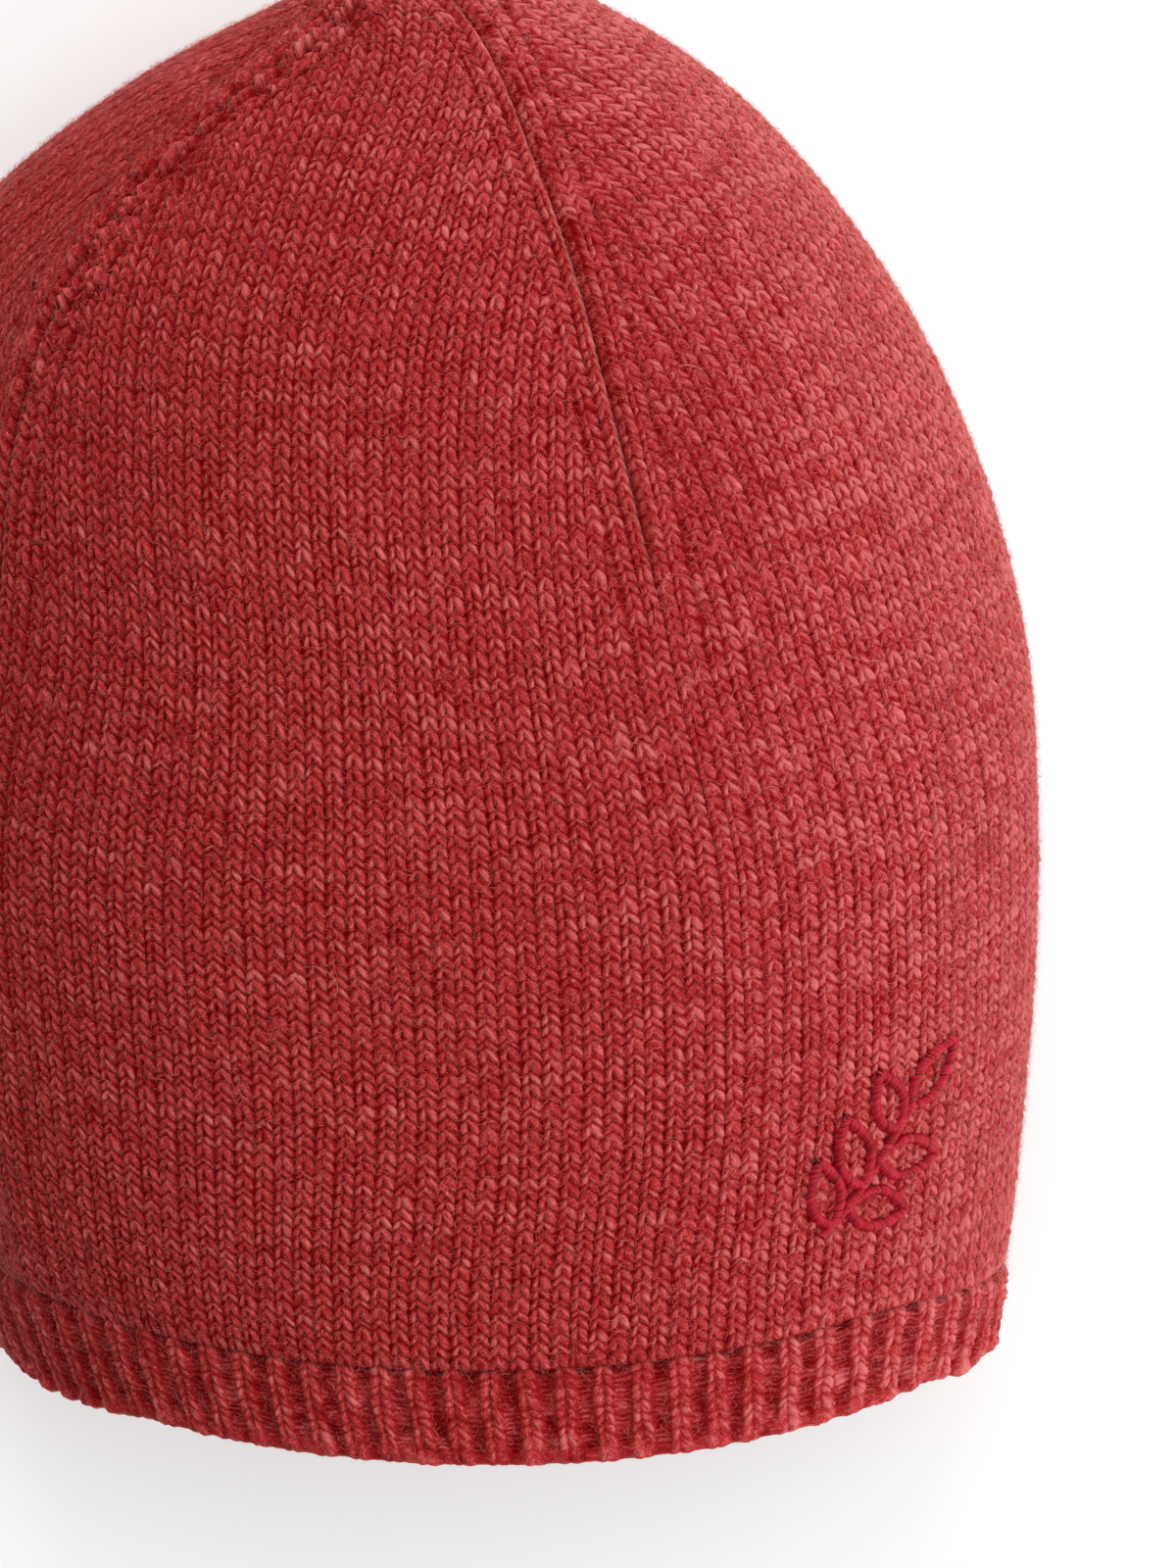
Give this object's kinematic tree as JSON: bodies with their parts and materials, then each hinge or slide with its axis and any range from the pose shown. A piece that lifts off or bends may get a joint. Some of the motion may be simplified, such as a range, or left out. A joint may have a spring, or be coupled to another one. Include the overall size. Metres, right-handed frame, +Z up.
{
  "type": "beanie",
  "caption": "Fine-knit wool beanie lying on its back, with a gored crown, a narrow ribbed band, an open hollow for the head and a small embroidered sprig.",
  "frame": {"origin": "under the middle of the hat's box, on the surface that the hat lies on", "axes": "+Y from the mouth to the tip of the crown, +Z up out of the front of the hat, +X to the right of the front"},
  "size_m": [0.1878, 0.2408, 0.0866],
  "materials": {
    "wool_knit": "heathered fine stockinette wool with a soft halo of fibres",
    "wool_rib": "heathered fine one-by-one ribbed wool",
    "satin_thread": "glossy crimson embroidery thread in satin stitch"
  },
  "bodies": {
    "root": {"crown": "wool_knit", "rib_band": "wool_rib", "embroidered_sprig": "satin_thread"}
  },
  "joints": []
}
